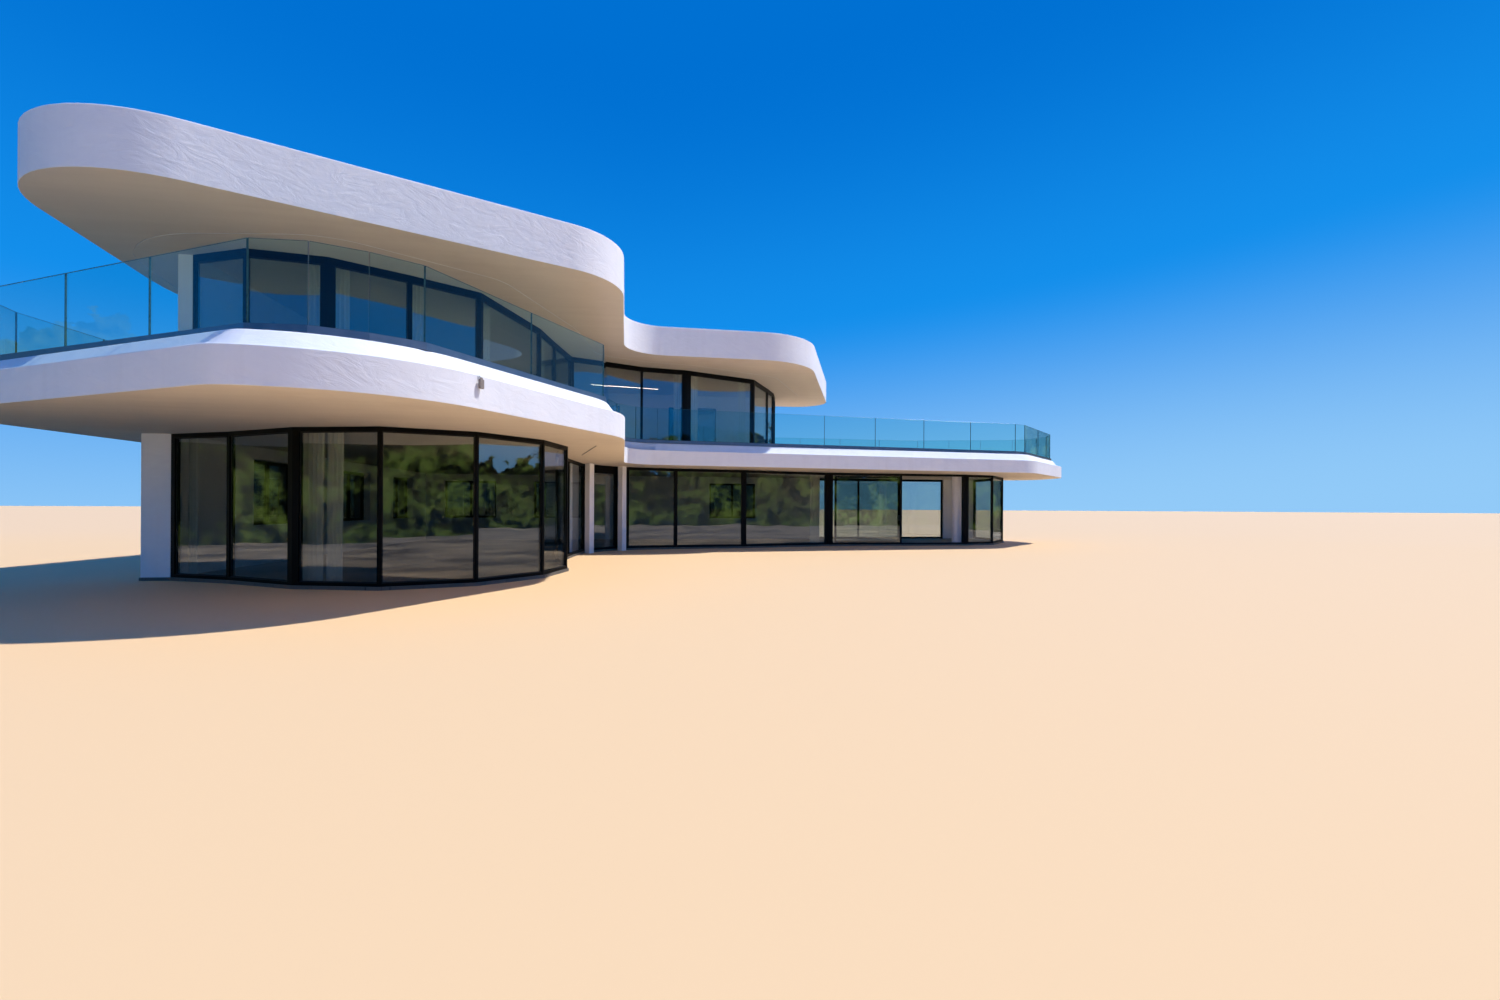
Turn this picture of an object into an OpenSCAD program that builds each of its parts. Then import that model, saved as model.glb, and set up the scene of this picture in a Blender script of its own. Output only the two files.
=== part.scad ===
/* [Levels] */
// Thickness of the ground slab that every wall stands on
floor_t = 60; // [40:10:120]
// Clear height of the ground storey
ground_h = 2680; // [2500:10:2900]
// Depth of the terrace slab between the storeys
terrace_t = 465; // [350:5:600]
// Height of the white kerb round the terrace
kerb_h = 240; // [180:10:300]
// Height of the glass balustrade above the kerb
guard_h = 1110; // [1000:10:1200]
// Clear height of the upper storey
upper_h = 2895; // [2700:5:3100]
// Thickness of the roof slab
roof_t = 350; // [250:10:450]
// Height of the roof's white edge, slab and parapet together
fascia_h = 890; // [700:10:1000]

/* [Edges] */
// Distance from the slab edge back to the top of the kerb
kerb_inset = 330; // [250:10:350]
// Width of the kerb at its top
kerb_w = 220; // [200:10:300]
// How far the kerb's outer face leans back from its foot to its top
kerb_lean = 180; // [40:5:200]
// Width of the metal channel that holds the balustrade glass
channel_w = 100; // [80:5:120]
// Height of that channel
channel_h = 100; // [50:5:130]
// Thickness of the balustrade glass
guard_t = 20; // [16:1:25]
// Longest balustrade panel round the lobe at the front
lobe_pitch = 2250; // [2200:50:2600]
// Longest balustrade panel elsewhere
guard_pitch = 1950; // [1900:50:2600]
// Open joint between neighbouring panels
joint_gap = 10; // [6:1:16]
// Thickness of the roof parapet
parapet_t = 220; // [150:10:300]
// Width of the groove in the underside of the roof
groove_w = 25; // [15:5:40]
// Depth of that groove
groove_d = 15; // [10:5:30]
// Angle between neighbouring points of a rounded slab corner
arc_step = 6; // [3:1:10]

/* [Glazing] */
// Depth of the window frames
frame_d = 100; // [80:5:120]
// Depth of the frame that carries the two tracks of the sliding door
track_frame_d = 160; // [150:5:180]
// Height of the bottom rail of the frames
sill_h = 60; // [40:5:90]
// Height of the top rail of the ground storey frames
head_h = 80; // [60:5:120]
// Height of the top rail of the narrow unit at the inner corner
corner_head_h = 240; // [200:10:280]
// Height of the top rail of the upper storey frames
upper_head_h = 140; // [100:5:180]
// Thickness of the sealed glass units
pane_t = 28; // [20:2:40]
// Open joint beside a pane and between neighbouring frames
glazing_gap = 0.5; // [0.5:0.5:3]

/* [Sliding door] */
// Width of the sliding leaf
leaf_w = 2560; // [2540:5:2580]
// Depth of the sliding leaf
leaf_d = 56; // [46:2:60]
// Width of the leaf's metal edge
leaf_stile = 60; // [50:5:80]
// Gap kept round the leaf
leaf_gap = 8; // [6:1:10]
// How far the open leaf stands back from the free edge of the fixed sheet
leaf_back = 60; // [40:5:80]

/* [Walls] */
// Thickness of the thick ground storey wall on the left
side_wall_t = 500; // [400:10:550]
// Thickness of the other walls
wall_t = 300; // [250:10:350]
// Thickness of the upper storey wall on the left
upper_side_t = 250; // [200:10:300]
// Width of a plain window in the side and rear walls
window_w = 2000; // [1600:50:2200]
// Height of such a window
window_h = 1500; // [1200:50:1600]
// Height of its sill above the floor
window_sill = 900; // [700:50:1000]

/* [Columns] */
// Width of the two square columns at the inner corner
square_col = 200; // [180:10:220]
// Diameter of the round column in the right wing
round_col = 380; // [350:10:400]

/* [Curtains] */
// Depth of a curtain's pleats
pleat_d = 90; // [60:5:100]
// Width of one pleat
pleat_w = 150; // [120:10:200]
// Thickness of the cloth stack
cloth_t = 16; // [12:1:20]
// Distance from the middle of the glazing to the middle of the cloth
curtain_set = 260; // [200:10:320]

/* [Hidden] */

render_white = [0.94, 0.93, 0.91];
frame_black = [0.09, 0.09, 0.10];
glass_blue = [0.45, 0.62, 0.70, 0.45];
channel_grey = [0.55, 0.57, 0.60];
cloth_cream = [0.86, 0.83, 0.74];
floor_grey = [0.62, 0.60, 0.57];

// Levels measured from the ground
ground_top = floor_t + ground_h;
terrace_top = ground_top + terrace_t;
kerb_top = terrace_top + kerb_h;
soffit_z = terrace_top + upper_h;
roof_top = soffit_z + fascia_h;

// Corners of the terrace slab as [x, y, corner radius], the front facing -Y
TERRACE = [[-14075, 10425, 800], [-14075, -7675, 2000], [-8225, -11025, 800], [-6450, -11025, 2600],
    [-3850, -6175, 2000], [-4100, 1700, 1100], [10625, 3275, 1500], [14075, 6650, 1500],
    [14075, 9000, 1300], [9025, 10425, 4000]];

// Corners of the roof in the same form
ROOF = [[-13775, 11025, 800], [-13775, -2975, 6000], [-12450, -9600, 2000], [-3925, -5155, 1750],
    [-4105, 1515, 1250], [1765, 1665, 2300], [4995, 11025, 1300]];

// Line of the groove in the soffit, about a metre outside the upper storey
GROOVE = [[-13540, 10000, 700], [-13540, -2750, 3000], [-12840, -6080, 2600], [-8950, -6640, 1500],
    [-6400, -4700, 1200], [-5250, -1000, 3000], [-4950, 1800, 900], [-3400, 2600, 2000],
    [-1850, 2850, 2500], [1150, 4300, 1200], [2850, 8000, 2000], [3300, 10000, 700]];

// Ground storey glazing line from the left wall to the rear right as [x, y, post width].
// The first point mirrors the third, so that the run ends square on the wall.
GROUND = [[-13555, -5775, 0], [-12215, -5125, 240], [-10875, -5775, 80], [-9345, -6775, 220],
    [-7845, -7175, 50], [-6445, -6675, 50], [-5495, -5425, 50], [-5195, -4055, 70], [-5625, -1975, 80],
    [-5575, -175, 60], [-5360, 1900, 100], [-4400, 3100, 140], [-4025, 3275, 60],
    [-2425, 3705, 100], [-25, 4025, 170], [3325, 5025, 300], [8805, 5025, 240],
    [10125, 5425, 50], [11525, 7125, 60], [11525, 9525, 120]];
GROUND_START = 1;
LOBE_END = 10;
CORNER_END = 11;
WING_END = 15;
SLIDE_END = 16;
GROUND_END = 19;

// Upper storey glazing line in the same form, with a mirrored point at both ends
UPPER = [[-13025, -5675, 0], [-11855, -5145, 120], [-10685, -5675, 60], [-9405, -5475, 220],
    [-8225, -4675, 80], [-7075, -3775, 150], [-6245, -925, 120], [-6055, 525, 100], [-5775, 2275, 180],
    [-3585, 3425, 50], [-2075, 3725, 300], [425, 4925, 200], [1275, 6725, 70],
    [1690, 7675, 80], [1975, 8825, 120], [1690, 9975, 0]];
UPPER_START = 1;
UPPER_LOBE_END = 8;
UPPER_END = 14;

// Corners of the balustrade, set back from the slab edge to stand on the kerb
GUARD = [[-13275, 10005], [-13545, 9895], [-13655, 9625], [-13655, -6505], [-13445, -7295],
    [-12845, -7885], [-8095, -10515], [-7425, -10535], [-6855, -10285], [-6325, -9905],
    [-4275, -5975], [-4515, 625], [-4315, 1405], [-3755, 1965], [-3075, 2165], [10050, 3630], [10550, 3830],
    [13330, 6510], [13570, 6860], [13655, 7280], [13655, 8015], [13475, 8545],
    [13015, 8865], [8965, 10005]];
SIDE_GUARD = 5;
LOBE_GUARD = 11;
WING_GUARD = 19;

// Outer faces of the plain walls
left_x = -12715;
rear_y = 9825;
right_x = 11575;
upper_left_x = -12105;
upper_rear_y = 9125;
upper_right_x = 2025;

// Rear glazing of the right wing
REAR = [[10025, 9675, 120], [8025, 9675, 60], [6025, 9675, 60], [4025, 9675, 120]];
REAR_END = 3;

// Centres of the columns
SQUARE_COLS = [[-5135, 1725], [-4195, 2925]];
col_turn = 51;
ROUND_COL = [8695, 5525];

// Centres of the plain windows, along each wall
LEFT_WINDOWS = [-1500, 3000, 7000];
REAR_WINDOWS = [-10500, -7000, 300];
UPPER_LEFT_WINDOWS = [-1500, 3000];
UPPER_REAR_WINDOWS = [-9500, -5500, -1500];

// Curtains as [stretch of the glazing line, start and end along it]
CURTAINS = [[1, 20, 290], [3, -90, 330], [3, 390, 690], [9, 760, 1600], [14, 2870, 3270]];
UPPER_CURTAINS = [[2, 880, 1150], [3, 170, 420], [4, 150, 400], [5, 300, 900], [6, 700, 1350],
    [9, 1160, 1400], [10, 330, 600], [10, 2330, 2600]];

// Lamp on the face of the terrace slab: distance past the front corner, width, depth, height
LAMP_SIDE = 3;
lamp_along = 1575;
lamp_w = 80;
lamp_d = 60;
lamp_h = 190;
lamp_drop = 195;

// Line light under the ceiling of the upper storey: its two ends, width and depth
LIGHT_ENDS = [[-5500, 6736], [-2960, 7287]];
light_w = 60;
light_d = 45;

// Sliding door: the fixed sheet stands on the outer track, the leaf runs on the inner one
fixed_right = 6200;
jamb_left = GROUND[WING_END][0] + GROUND[WING_END][2] / 2;
slide_y = GROUND[WING_END][1];
outer_y = slide_y - track_frame_d / 4;
inner_y = slide_y + track_frame_d / 4;
leaf_z = floor_t + sill_h + leaf_gap;
leaf_h = ground_h - sill_h - head_h - 2 * leaf_gap;
leaf_open_x = fixed_right - leaf_back - leaf_w;

// Slot of the channel that holds the balustrade glass, and the bed under the glass
slot_w = guard_t + 4;
slot_bed = 20;

// How far a cutting body reaches past the faces that it cuts
cut_past = 10;

// Smallest radius left where a rounded corner is set inwards
least_r = 20;

// Directions and points of a path
function unit(v) = v / norm(v);
function left(v) = [-v[1], v[0]];
function xy(p) = [p[0], p[1]];
function at(list, i) = list[(i + len(list)) % len(list)];
function mitre(a, b) = (left(a) + left(b)) / (1 + a * b);

// Directions of the two sides that meet at point i of a closed outline
function side_in(plan, i) = unit(xy(plan[i]) - xy(at(plan, i - 1)));
function side_out(plan, i) = unit(xy(at(plan, i + 1)) - xy(plan[i]));

// Corners of a closed outline moved inwards by d
function set_back(plan, d) = [for (i = [0:len(plan) - 1])
    xy(plan[i]) + d * mitre(side_in(plan, i), side_out(plan, i))];

// The same for an outline with corner radii, which stay concentric
function inset(plan, d) = [for (i = [0:len(plan) - 1])
    let (q = set_back(plan, d)[i],
        grow = cross(side_in(plan, i), side_out(plan, i)) > 0 ? -d : d)
    [q[0], q[1], max(least_r, plan[i][2] + grow)]];

// Points of the arc of radius r that rounds the corner q between p and s
function corner(p, q, s, r) =
    let (a = unit(p - q),
        b = unit(s - q),
        half = acos(a * b) / 2,
        centre = q + unit(a + b) * r / sin(half),
        arm = q + a * r / tan(half) - centre,
        sweep = 180 - 2 * half,
        steps = max(1, ceil(sweep / arc_step)),
        side = cross(q - p, s - q) > 0 ? 1 : -1)
    [for (k = [0:steps])
        let (t = side * sweep * k / steps)
        centre + [arm[0] * cos(t) - arm[1] * sin(t), arm[0] * sin(t) + arm[1] * cos(t)]];

function rounded(plan) = [for (i = [0:len(plan) - 1])
    each corner(xy(at(plan, i - 1)), xy(plan[i]), xy(at(plan, i + 1)), plan[i][2])];

// Direction of the stretch of a path that starts at point i
function run(path, i) = unit(xy(path[i + 1]) - xy(path[i]));
function reach(path, i) = norm(xy(path[i + 1]) - xy(path[i]));

// Point of a path moved sideways by d, on the line that halves its corner
function bend(path, i, d) =
    let (a = run(path, max(0, i - 1)),
        b = run(path, min(len(path) - 2, i)))
    xy(path[i]) + d * mitre(a, b);

// Point at distance s along stretch i, moved sideways by d
function beside(path, i, s, d) = xy(path[i]) + run(path, i) * s + left(run(path, i)) * d;

// Point of one edge of a band from point i to point j, drawn back at the band's two ends
function edge_point(path, i, j, k, d) = bend(path, k, d)
    + glazing_gap * ((k == i ? 1 : 0) * run(path, i) - (k == j ? 1 : 0) * run(path, j - 1));

// Outline of a band of width w from point i to point j of a path
function band(path, i, j, w) = concat(
    [for (k = [i:j]) edge_point(path, i, j, k, w / 2)],
    [for (k = [j:-1:i]) edge_point(path, i, j, k, -w / 2)]);

// Outline of thickness t between the posts at the two ends of stretch i, with a gap at both
function between_posts(path, i, t, gap) =
    let (near = path[i][2] / 2 + gap,
        far = reach(path, i) - path[i + 1][2] / 2 - gap)
    [beside(path, i, near, -t / 2), beside(path, i, far, -t / 2),
        beside(path, i, far, t / 2), beside(path, i, near, t / 2)];

// Splits every stretch of a path into equal parts no longer than pitch
function divided(path, pitch) = [for (i = [0:len(path) - 2])
    let (n = ceil(reach(path, i) / pitch))
    each [for (k = [0:n - (i == len(path) - 2 ? 0 : 1)])
        xy(path[i]) + run(path, i) * reach(path, i) * k / n]];

module prism(outline, z, h) {
    translate([0, 0, z]) linear_extrude(h) polygon(outline);
}

// Flat ring between two insets of one outline
module ring(plan, outer, inner, z, h) {
    translate([0, 0, z]) linear_extrude(h) difference() {
        polygon(rounded(inset(plan, outer)));
        polygon(rounded(inset(plan, inner)));
    }
}

// Ring whose outer face leans in from one inset at its foot to another at its top, while the
// inner face is upright. The four rims have the same number of points and are joined in turn.
module leaning_ring(plan, foot, top, inner, z, h) {
    rims = [for (d = [foot, top, inner, inner]) rounded(inset(plan, d))];
    levels = [z, z + h, z + h, z];
    n = len(rims[0]);
    corners = [for (j = [0:3]) each [for (p = rims[j]) [p[0], p[1], levels[j]]]];
    sides = [for (j = [0:3]) each [for (k = [0:n - 1])
        let (next = (k + 1) % n,
            upper = (j + 1) % 4 * n)
        [j * n + k, upper + k, upper + next, j * n + next]]];
    polyhedron(corners, sides);
}

// Metal frame of a glazed run: a post at each point, rails below and above
module glazing_frame(path, i, j, depth, z, h, head) {
    color(frame_black) difference() {
        prism(band(path, i, j, depth), z, h);
        for (k = [i:j - 1])
            prism(between_posts(path, k, depth + 2 * cut_past, 0), z + sill_h, h - sill_h - head);
    }
}

// One sheet of glass between each pair of posts
module glazing_panes(path, i, j, z, h, head) {
    color(glass_blue) for (k = [i:j - 1])
        prism(between_posts(path, k, pane_t, glazing_gap), z + sill_h, h - sill_h - head);
}

// Plain window frame with a middle mullion, centred on the origin in X and Y
module window_frame() {
    clear_w = window_w / 2 - 1.5 * sill_h;
    color(frame_black) difference() {
        translate([-window_w / 2, -frame_d / 2, 0]) cube([window_w, frame_d, window_h]);
        for (x = [sill_h - window_w / 2, sill_h / 2])
            translate([x, -frame_d, sill_h]) cube([clear_w, 2 * frame_d, window_h - 2 * sill_h]);
    }
}

module window_panes() {
    clear_w = window_w / 2 - 1.5 * sill_h;
    color(glass_blue) for (x = [sill_h - window_w / 2, sill_h / 2])
        translate([x, -pane_t / 2, sill_h]) cube([clear_w, pane_t, window_h - 2 * sill_h]);
}

// Places a window at each centre along a wall that runs in X or in Y
module along_x(centres, y, z) {
    for (x = centres) translate([x, y, z + window_sill]) children();
}
module along_y(centres, x, z) {
    for (y = centres) translate([x, y, z + window_sill]) rotate([0, 0, 90]) children();
}

module window_hole(t) {
    translate([-window_w / 2, -t, 0]) cube([window_w, 2 * t, window_h]);
}

// Straight wall box from corner [x0, y0] to corner [x1, y1]
module wall_box(x0, y0, x1, y1, z, h) {
    translate([x0, y0, z]) cube([x1 - x0, y1 - y0, h]);
}

module ground_slab() {
    front = [for (k = [GROUND_START:GROUND_END]) bend(GROUND, k, -track_frame_d / 2)];
    side = front[len(front) - 1][0];
    edge = concat([[left_x, front[0][1]]], front, [[side, rear_y], [left_x, rear_y]]);
    color(floor_grey) prism(edge, 0, floor_t);
}

module left_wall_ground() {
    front_y = ceil(bend(GROUND, GROUND_START, -frame_d / 2)[1]);
    color(render_white) difference() {
        wall_box(left_x, front_y, left_x + side_wall_t, rear_y - wall_t, floor_t, ground_h);
        along_y(LEFT_WINDOWS, left_x + side_wall_t / 2, floor_t) window_hole(side_wall_t);
    }
}

module rear_wall_ground() {
    color(render_white) difference() {
        wall_box(left_x, rear_y - wall_t, REAR[REAR_END][0], rear_y, floor_t, ground_h);
        along_x(REAR_WINDOWS, rear_y - wall_t / 2, floor_t) window_hole(wall_t);
    }
}

module rear_end_wall_ground() {
    color(render_white)
        wall_box(REAR[0][0], rear_y - wall_t, right_x, rear_y, floor_t, ground_h);
}

module square_columns() {
    color(render_white) for (p = SQUARE_COLS)
        translate([p[0], p[1], 0]) rotate([0, 0, col_turn])
            translate([-square_col / 2, -square_col / 2, 0]) cube([square_col, square_col, ground_top]);
}

module round_column() {
    color(render_white) translate([ROUND_COL[0], ROUND_COL[1], floor_t])
        cylinder(d = round_col, h = ground_h, $fn = 64);
}

module lobe_frame_ground() {
    glazing_frame(GROUND, GROUND_START, LOBE_END, frame_d, floor_t, ground_h, head_h);
}

module lobe_glass_ground() {
    glazing_panes(GROUND, GROUND_START, LOBE_END, floor_t, ground_h, head_h);
}

module corner_frame_ground() {
    glazing_frame(GROUND, LOBE_END, CORNER_END, frame_d, floor_t, ground_h, corner_head_h);
}

module corner_glass_ground() {
    glazing_panes(GROUND, LOBE_END, CORNER_END, floor_t, ground_h, corner_head_h);
}

module wing_frame_ground() {
    glazing_frame(GROUND, CORNER_END, WING_END, frame_d, floor_t, ground_h, head_h);
}

module wing_glass_ground() {
    glazing_panes(GROUND, CORNER_END, WING_END, floor_t, ground_h, head_h);
}

module sliding_door_frame() {
    glazing_frame(GROUND, WING_END, SLIDE_END, track_frame_d, floor_t, ground_h, head_h);
    color(frame_black) translate([fixed_right - leaf_stile, outer_y - leaf_d / 2, floor_t + sill_h])
        cube([leaf_stile, leaf_d, ground_h - sill_h - head_h]);
}

module sliding_door_fixed_glass() {
    color(glass_blue) translate([jamb_left, outer_y - pane_t / 2, floor_t + sill_h])
        cube([fixed_right - leaf_stile - jamb_left, pane_t, ground_h - sill_h - head_h]);
}

module sliding_leaf_frame() {
    color(frame_black) translate([leaf_open_x, inner_y - leaf_d / 2, leaf_z]) difference() {
        cube([leaf_w, leaf_d, leaf_h]);
        translate([leaf_stile, -leaf_d, leaf_stile])
            cube([leaf_w - 2 * leaf_stile, 3 * leaf_d, leaf_h - 2 * leaf_stile]);
    }
}

module sliding_leaf_glass() {
    color(glass_blue)
        translate([leaf_open_x + leaf_stile, inner_y - pane_t / 2, leaf_z + leaf_stile])
            cube([leaf_w - 2 * leaf_stile, pane_t, leaf_h - 2 * leaf_stile]);
}

module wing_end_frame_ground() {
    glazing_frame(GROUND, SLIDE_END, GROUND_END, frame_d, floor_t, ground_h, head_h);
}

module wing_end_glass_ground() {
    glazing_panes(GROUND, SLIDE_END, GROUND_END, floor_t, ground_h, head_h);
}

module rear_frame_ground() {
    glazing_frame(REAR, 0, REAR_END, frame_d, floor_t, ground_h, head_h);
}

module rear_glass_ground() {
    glazing_panes(REAR, 0, REAR_END, floor_t, ground_h, head_h);
}

module window_frames_ground() {
    along_y(LEFT_WINDOWS, left_x + side_wall_t / 2, floor_t) window_frame();
    along_x(REAR_WINDOWS, rear_y - wall_t / 2, floor_t) window_frame();
}

module window_glass_ground() {
    along_y(LEFT_WINDOWS, left_x + side_wall_t / 2, floor_t) window_panes();
    along_x(REAR_WINDOWS, rear_y - wall_t / 2, floor_t) window_panes();
}

// Wavy line of a curtain c inside a glazing line
function pleats(path, c, d) =
    let (n = 4 * ceil((c[2] - c[1]) / pleat_w))
    [for (k = [0:n])
        let (wave = pleat_d / 2 * sin(90 * k))
        beside(path, c[0], c[1] + (c[2] - c[1]) * k / n, curtain_set + wave + d)];

module curtain(path, c, z, h) {
    front = pleats(path, c, 0);
    back = pleats(path, c, cloth_t);
    color(cloth_cream) prism(concat(front, [for (k = [len(back) - 1:-1:0]) back[k]]), z, h);
}

module curtains_ground() {
    for (c = CURTAINS) curtain(GROUND, c, floor_t, ground_h);
}

module curtains_upper() {
    for (c = UPPER_CURTAINS) curtain(UPPER, c, terrace_top, upper_h);
}

module terrace_slab() {
    color(render_white) prism(rounded(TERRACE), ground_top, terrace_t);
}

module terrace_kerb() {
    color(render_white) leaning_ring(TERRACE, kerb_inset - kerb_lean, kerb_inset, kerb_inset + kerb_w,
        terrace_top, kerb_h);
}

// Closed strip of width w that follows the balustrade line
module guard_strip(w, z, h) {
    translate([0, 0, z]) linear_extrude(h) difference() {
        polygon(set_back(GUARD, -w / 2));
        polygon(set_back(GUARD, w / 2));
    }
}

// Metal channel with an open slot on top
module balustrade_channel() {
    color(channel_grey) difference() {
        guard_strip(channel_w, kerb_top, channel_h);
        guard_strip(slot_w, kerb_top + slot_bed, channel_h);
    }
}

// One flat sheet from joint to joint, standing in the slot of the channel
module guard_panels(i, j, pitch) {
    joints = divided([for (k = [i:j]) at(GUARD, k)], pitch);
    color(glass_blue) for (k = [0:len(joints) - 2]) {
        far = reach(joints, k) - joint_gap / 2;
        prism([beside(joints, k, joint_gap / 2, -guard_t / 2), beside(joints, k, far, -guard_t / 2),
            beside(joints, k, far, guard_t / 2), beside(joints, k, joint_gap / 2, guard_t / 2)],
            kerb_top + slot_bed, guard_h - slot_bed);
    }
}

module side_balustrade_glass() {
    guard_panels(0, SIDE_GUARD, guard_pitch);
}

module lobe_balustrade_glass() {
    guard_panels(SIDE_GUARD, LOBE_GUARD, lobe_pitch);
}

module wing_balustrade_glass() {
    guard_panels(LOBE_GUARD, WING_GUARD, guard_pitch);
}

module rear_balustrade_glass() {
    guard_panels(WING_GUARD, len(GUARD), guard_pitch);
}

// Small lamp on the face of the terrace slab
module fascia_light() {
    way = run(TERRACE, LAMP_SIDE);
    spot = beside(TERRACE, LAMP_SIDE, lamp_along, 0);
    color(render_white) translate([spot[0], spot[1], terrace_top - lamp_drop])
        rotate([0, 0, atan2(way[1], way[0])]) translate([-lamp_w / 2, -lamp_d, 0])
            cube([lamp_w, lamp_d, lamp_h]);
}

// Slim box that hangs flat under the ceiling
module line_light() {
    way = LIGHT_ENDS[1] - LIGHT_ENDS[0];
    color(render_white) translate([LIGHT_ENDS[0][0], LIGHT_ENDS[0][1], soffit_z - light_d])
        rotate([0, 0, atan2(way[1], way[0])]) translate([0, -light_w / 2, 0])
            cube([norm(way), light_w, light_d]);
}

module left_wall_upper() {
    front_y = ceil(bend(UPPER, UPPER_START, -frame_d / 2)[1]);
    color(render_white) difference() {
        wall_box(upper_left_x, front_y, upper_left_x + upper_side_t, upper_rear_y - wall_t,
            terrace_top, upper_h);
        along_y(UPPER_LEFT_WINDOWS, upper_left_x + upper_side_t / 2, terrace_top)
            window_hole(upper_side_t);
    }
}

module rear_wall_upper() {
    color(render_white) difference() {
        wall_box(upper_left_x, upper_rear_y - wall_t, upper_right_x, upper_rear_y,
            terrace_top, upper_h);
        along_x(UPPER_REAR_WINDOWS, upper_rear_y - wall_t / 2, terrace_top) window_hole(wall_t);
    }
}

module lobe_frame_upper() {
    glazing_frame(UPPER, UPPER_START, UPPER_LOBE_END, frame_d, terrace_top, upper_h, upper_head_h);
}

module lobe_glass_upper() {
    glazing_panes(UPPER, UPPER_START, UPPER_LOBE_END, terrace_top, upper_h, upper_head_h);
}

module wing_frame_upper() {
    glazing_frame(UPPER, UPPER_LOBE_END, UPPER_END, frame_d, terrace_top, upper_h, upper_head_h);
}

module wing_glass_upper() {
    glazing_panes(UPPER, UPPER_LOBE_END, UPPER_END, terrace_top, upper_h, upper_head_h);
}

module window_frames_upper() {
    along_y(UPPER_LEFT_WINDOWS, upper_left_x + upper_side_t / 2, terrace_top) window_frame();
    along_x(UPPER_REAR_WINDOWS, upper_rear_y - wall_t / 2, terrace_top) window_frame();
}

module window_glass_upper() {
    along_y(UPPER_LEFT_WINDOWS, upper_left_x + upper_side_t / 2, terrace_top) window_panes();
    along_x(UPPER_REAR_WINDOWS, upper_rear_y - wall_t / 2, terrace_top) window_panes();
}

module roof_slab() {
    color(render_white) difference() {
        prism(rounded(ROOF), soffit_z, roof_t);
        ring(GROOVE, -groove_w / 2, groove_w / 2, soffit_z - cut_past, groove_d + cut_past);
    }
}

module roof_parapet() {
    color(render_white) ring(ROOF, 0, parapet_t, soffit_z + roof_t, fascia_h - roof_t);
}

ground_slab();
left_wall_ground();
rear_wall_ground();
rear_end_wall_ground();
square_columns();
round_column();
lobe_frame_ground();
lobe_glass_ground();
corner_frame_ground();
corner_glass_ground();
wing_frame_ground();
wing_glass_ground();
sliding_door_frame();
sliding_door_fixed_glass();
sliding_leaf_frame();
sliding_leaf_glass();
wing_end_frame_ground();
wing_end_glass_ground();
rear_frame_ground();
rear_glass_ground();
window_frames_ground();
window_glass_ground();
curtains_ground();
terrace_slab();
terrace_kerb();
balustrade_channel();
side_balustrade_glass();
lobe_balustrade_glass();
wing_balustrade_glass();
rear_balustrade_glass();
fascia_light();
line_light();
curtains_upper();
left_wall_upper();
rear_wall_upper();
lobe_frame_upper();
lobe_glass_upper();
wing_frame_upper();
wing_glass_upper();
window_frames_upper();
window_glass_upper();
roof_slab();
roof_parapet();
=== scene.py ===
import math
import random

import bpy
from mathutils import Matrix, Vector


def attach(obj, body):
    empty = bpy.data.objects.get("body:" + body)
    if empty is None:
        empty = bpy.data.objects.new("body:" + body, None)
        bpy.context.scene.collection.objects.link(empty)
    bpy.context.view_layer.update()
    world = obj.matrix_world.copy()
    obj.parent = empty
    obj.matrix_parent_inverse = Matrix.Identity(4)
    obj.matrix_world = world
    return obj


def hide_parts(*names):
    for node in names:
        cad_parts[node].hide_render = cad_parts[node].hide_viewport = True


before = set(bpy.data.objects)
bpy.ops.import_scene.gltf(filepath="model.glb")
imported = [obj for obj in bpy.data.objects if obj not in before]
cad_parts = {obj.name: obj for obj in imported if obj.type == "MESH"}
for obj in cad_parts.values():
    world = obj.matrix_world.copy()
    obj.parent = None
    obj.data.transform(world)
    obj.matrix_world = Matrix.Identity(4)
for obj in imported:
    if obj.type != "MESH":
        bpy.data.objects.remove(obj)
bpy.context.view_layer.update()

# Viewpoint.
# The photograph was taken with a 16 mm lens at chest height, level, turned nine degrees
# to the right of the house's own front.
view = bpy.data.cameras.new("viewpoint")
viewpoint = bpy.data.objects.new("viewpoint", view)
bpy.context.scene.collection.objects.link(viewpoint)
viewpoint.location = (-3.475, -19.175, 1.41)
viewpoint.rotation_euler = (math.radians(90), math.radians(-0.29), math.radians(-9))
view.lens = 16.0
view.sensor_width = 36.0
view.shift_y = 0.0053
bpy.context.scene.camera = viewpoint


# Studio floor and light.
# A plain pale floor in a warm tone, one high key from the right and a blue dome, which give
# white render its cool shade and its warm undersides. Colours are shown as they are mixed.
bpy.context.scene.view_settings.view_transform = "Standard"


def linear(code):
    """Linear colour, with alpha, of an sRGB hex value."""
    parts = [int(code[i:i + 2], 16) / 255 for i in (0, 2, 4)]
    return [c / 12.92 if c <= 0.04045 else ((c + 0.055) / 1.055) ** 2.4 for c in parts] + [1.0]


def put(owner, kind, inputs=None, **settings):
    """Adds one shader node with its settings, values and links; a node is linked by its first output."""
    new = owner.node_tree.nodes.new("ShaderNode" + kind)
    for name, value in settings.items():
        setattr(new, name, value)
    for name, value in (inputs or {}).items():
        if isinstance(value, bpy.types.Node):
            value = value.outputs[0]
        if isinstance(value, bpy.types.NodeSocket):
            owner.node_tree.links.new(value, new.inputs[name])
        else:
            new.inputs[name].default_value = value
    return new


def material(name):
    """An empty node material."""
    made = bpy.data.materials.new(name)
    made.use_nodes = True
    made.node_tree.nodes.clear()
    return made


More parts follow.
